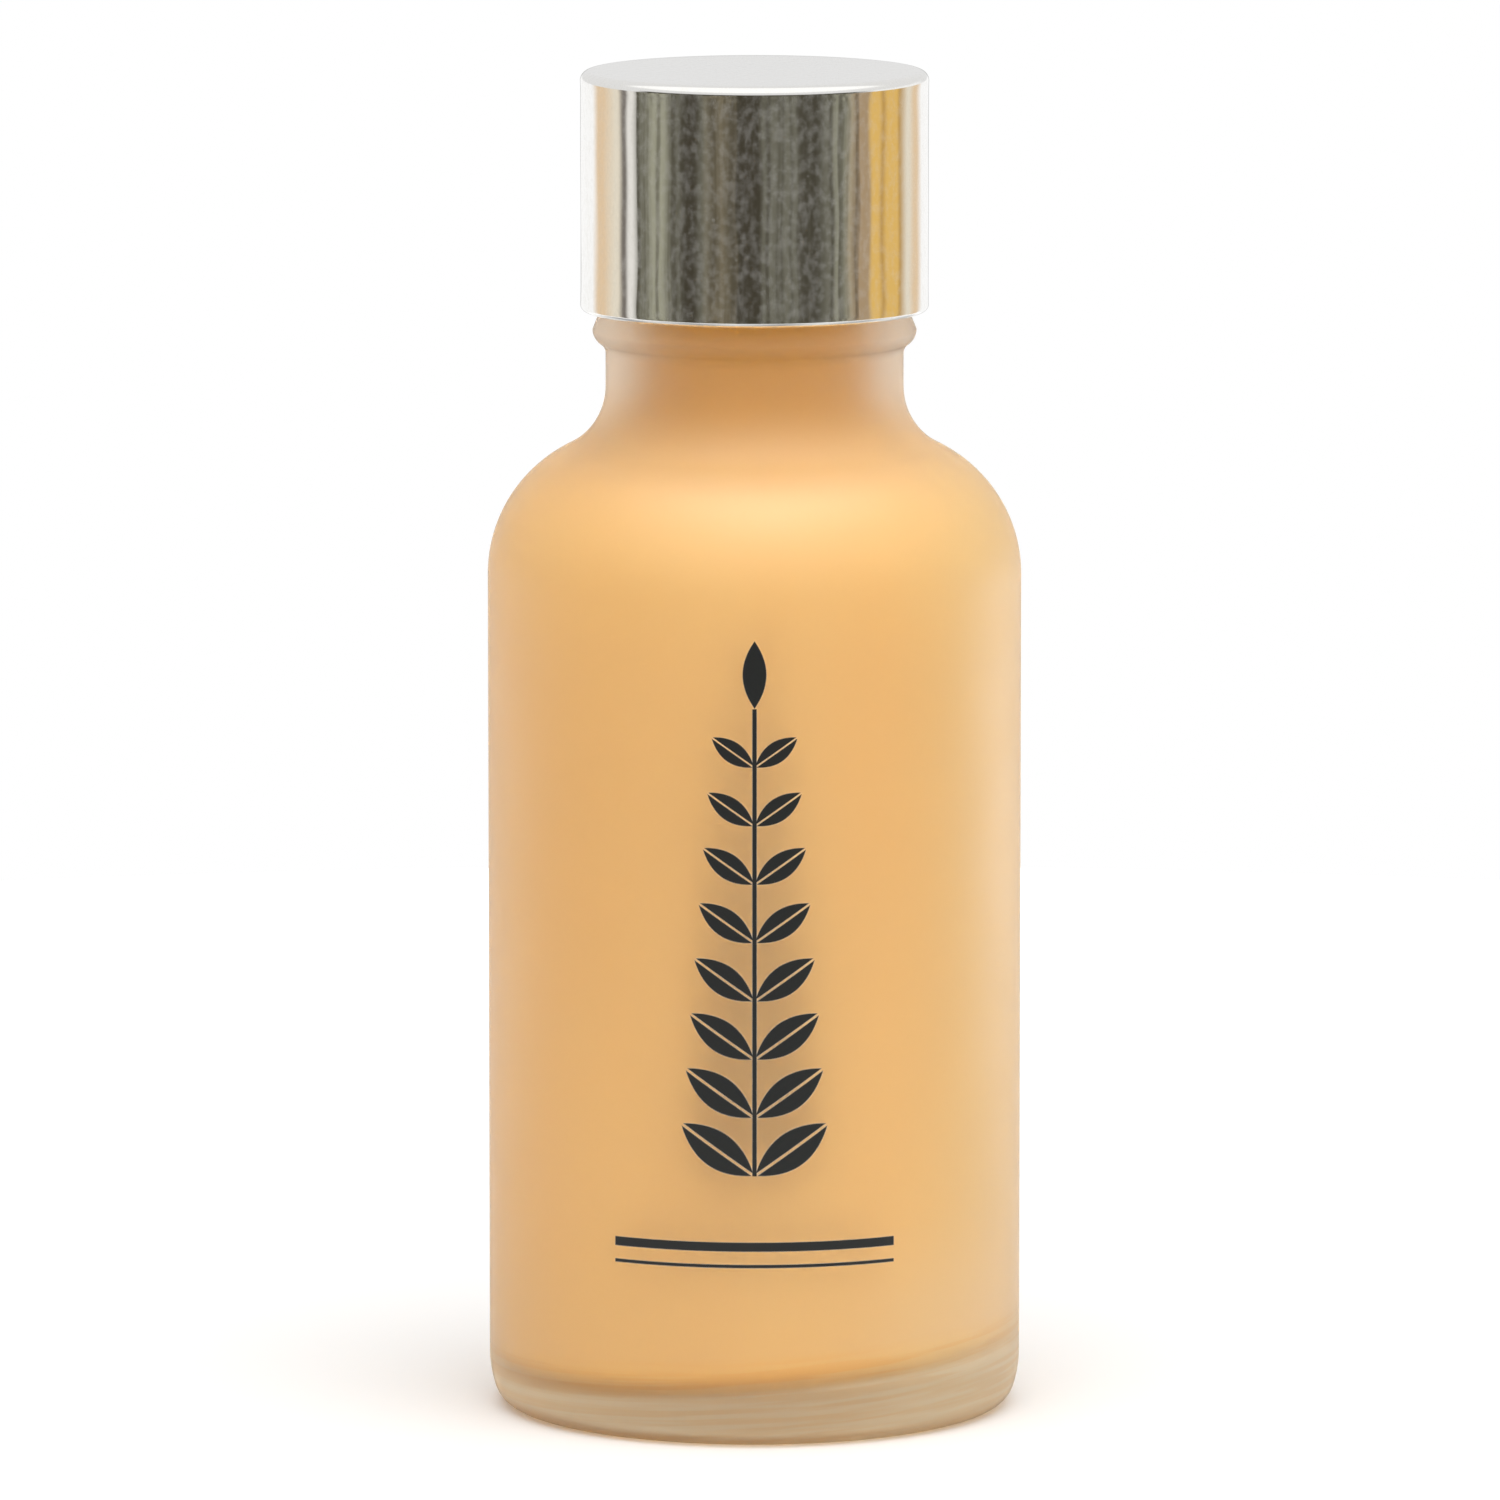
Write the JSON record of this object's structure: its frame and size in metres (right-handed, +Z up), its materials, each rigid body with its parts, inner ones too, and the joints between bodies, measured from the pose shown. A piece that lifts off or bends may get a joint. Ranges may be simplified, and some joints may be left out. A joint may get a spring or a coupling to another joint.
{
  "type": "foundation bottle",
  "caption": "Small round frosted glass bottle of liquid foundation with a pouring plug in its mouth and a bright metal-shelled screw cap that rises as it is turned.",
  "frame": {"origin": "centre of the foot, on the plane that the bottle stands on", "axes": "+Z up along the bottle's axis to the cap, and the side that the picture shows faces -Y"},
  "size_m": [0.033, 0.033, 0.0832],
  "materials": {
    "frosted_glass": "matte",
    "foundation": "satin",
    "plug_plastic": "satin",
    "liner_foam": "matte",
    "cap_plastic": "satin",
    "bright_metal": "polished"
  },
  "bodies": {
    "bottle": {"glass_bottle": "frosted_glass", "foundation_fill": "foundation", "pouring_plug": "plug_plastic"},
    "liner": {"cap_liner": "liner_foam"},
    "cap": {"inner_cap": "cap_plastic", "cap_shell": "bright_metal"}
  },
  "joints": [
    {"name": "cap_lift", "type": "slide", "parent": "bottle", "child": "liner", "axis": [0, 0, 1], "range_m": [0, 0.0049]},
    {"name": "cap_turn", "type": "hinge", "parent": "liner", "child": "cap", "pos_m": [0, 0, 0.0758], "axis": [0, 0, 1], "range_deg": [0, 585]}
  ],
  "couplings": [
    {"joint": "cap_lift", "follows": "cap_turn", "m_per_rad": 0.00047746}
  ]
}
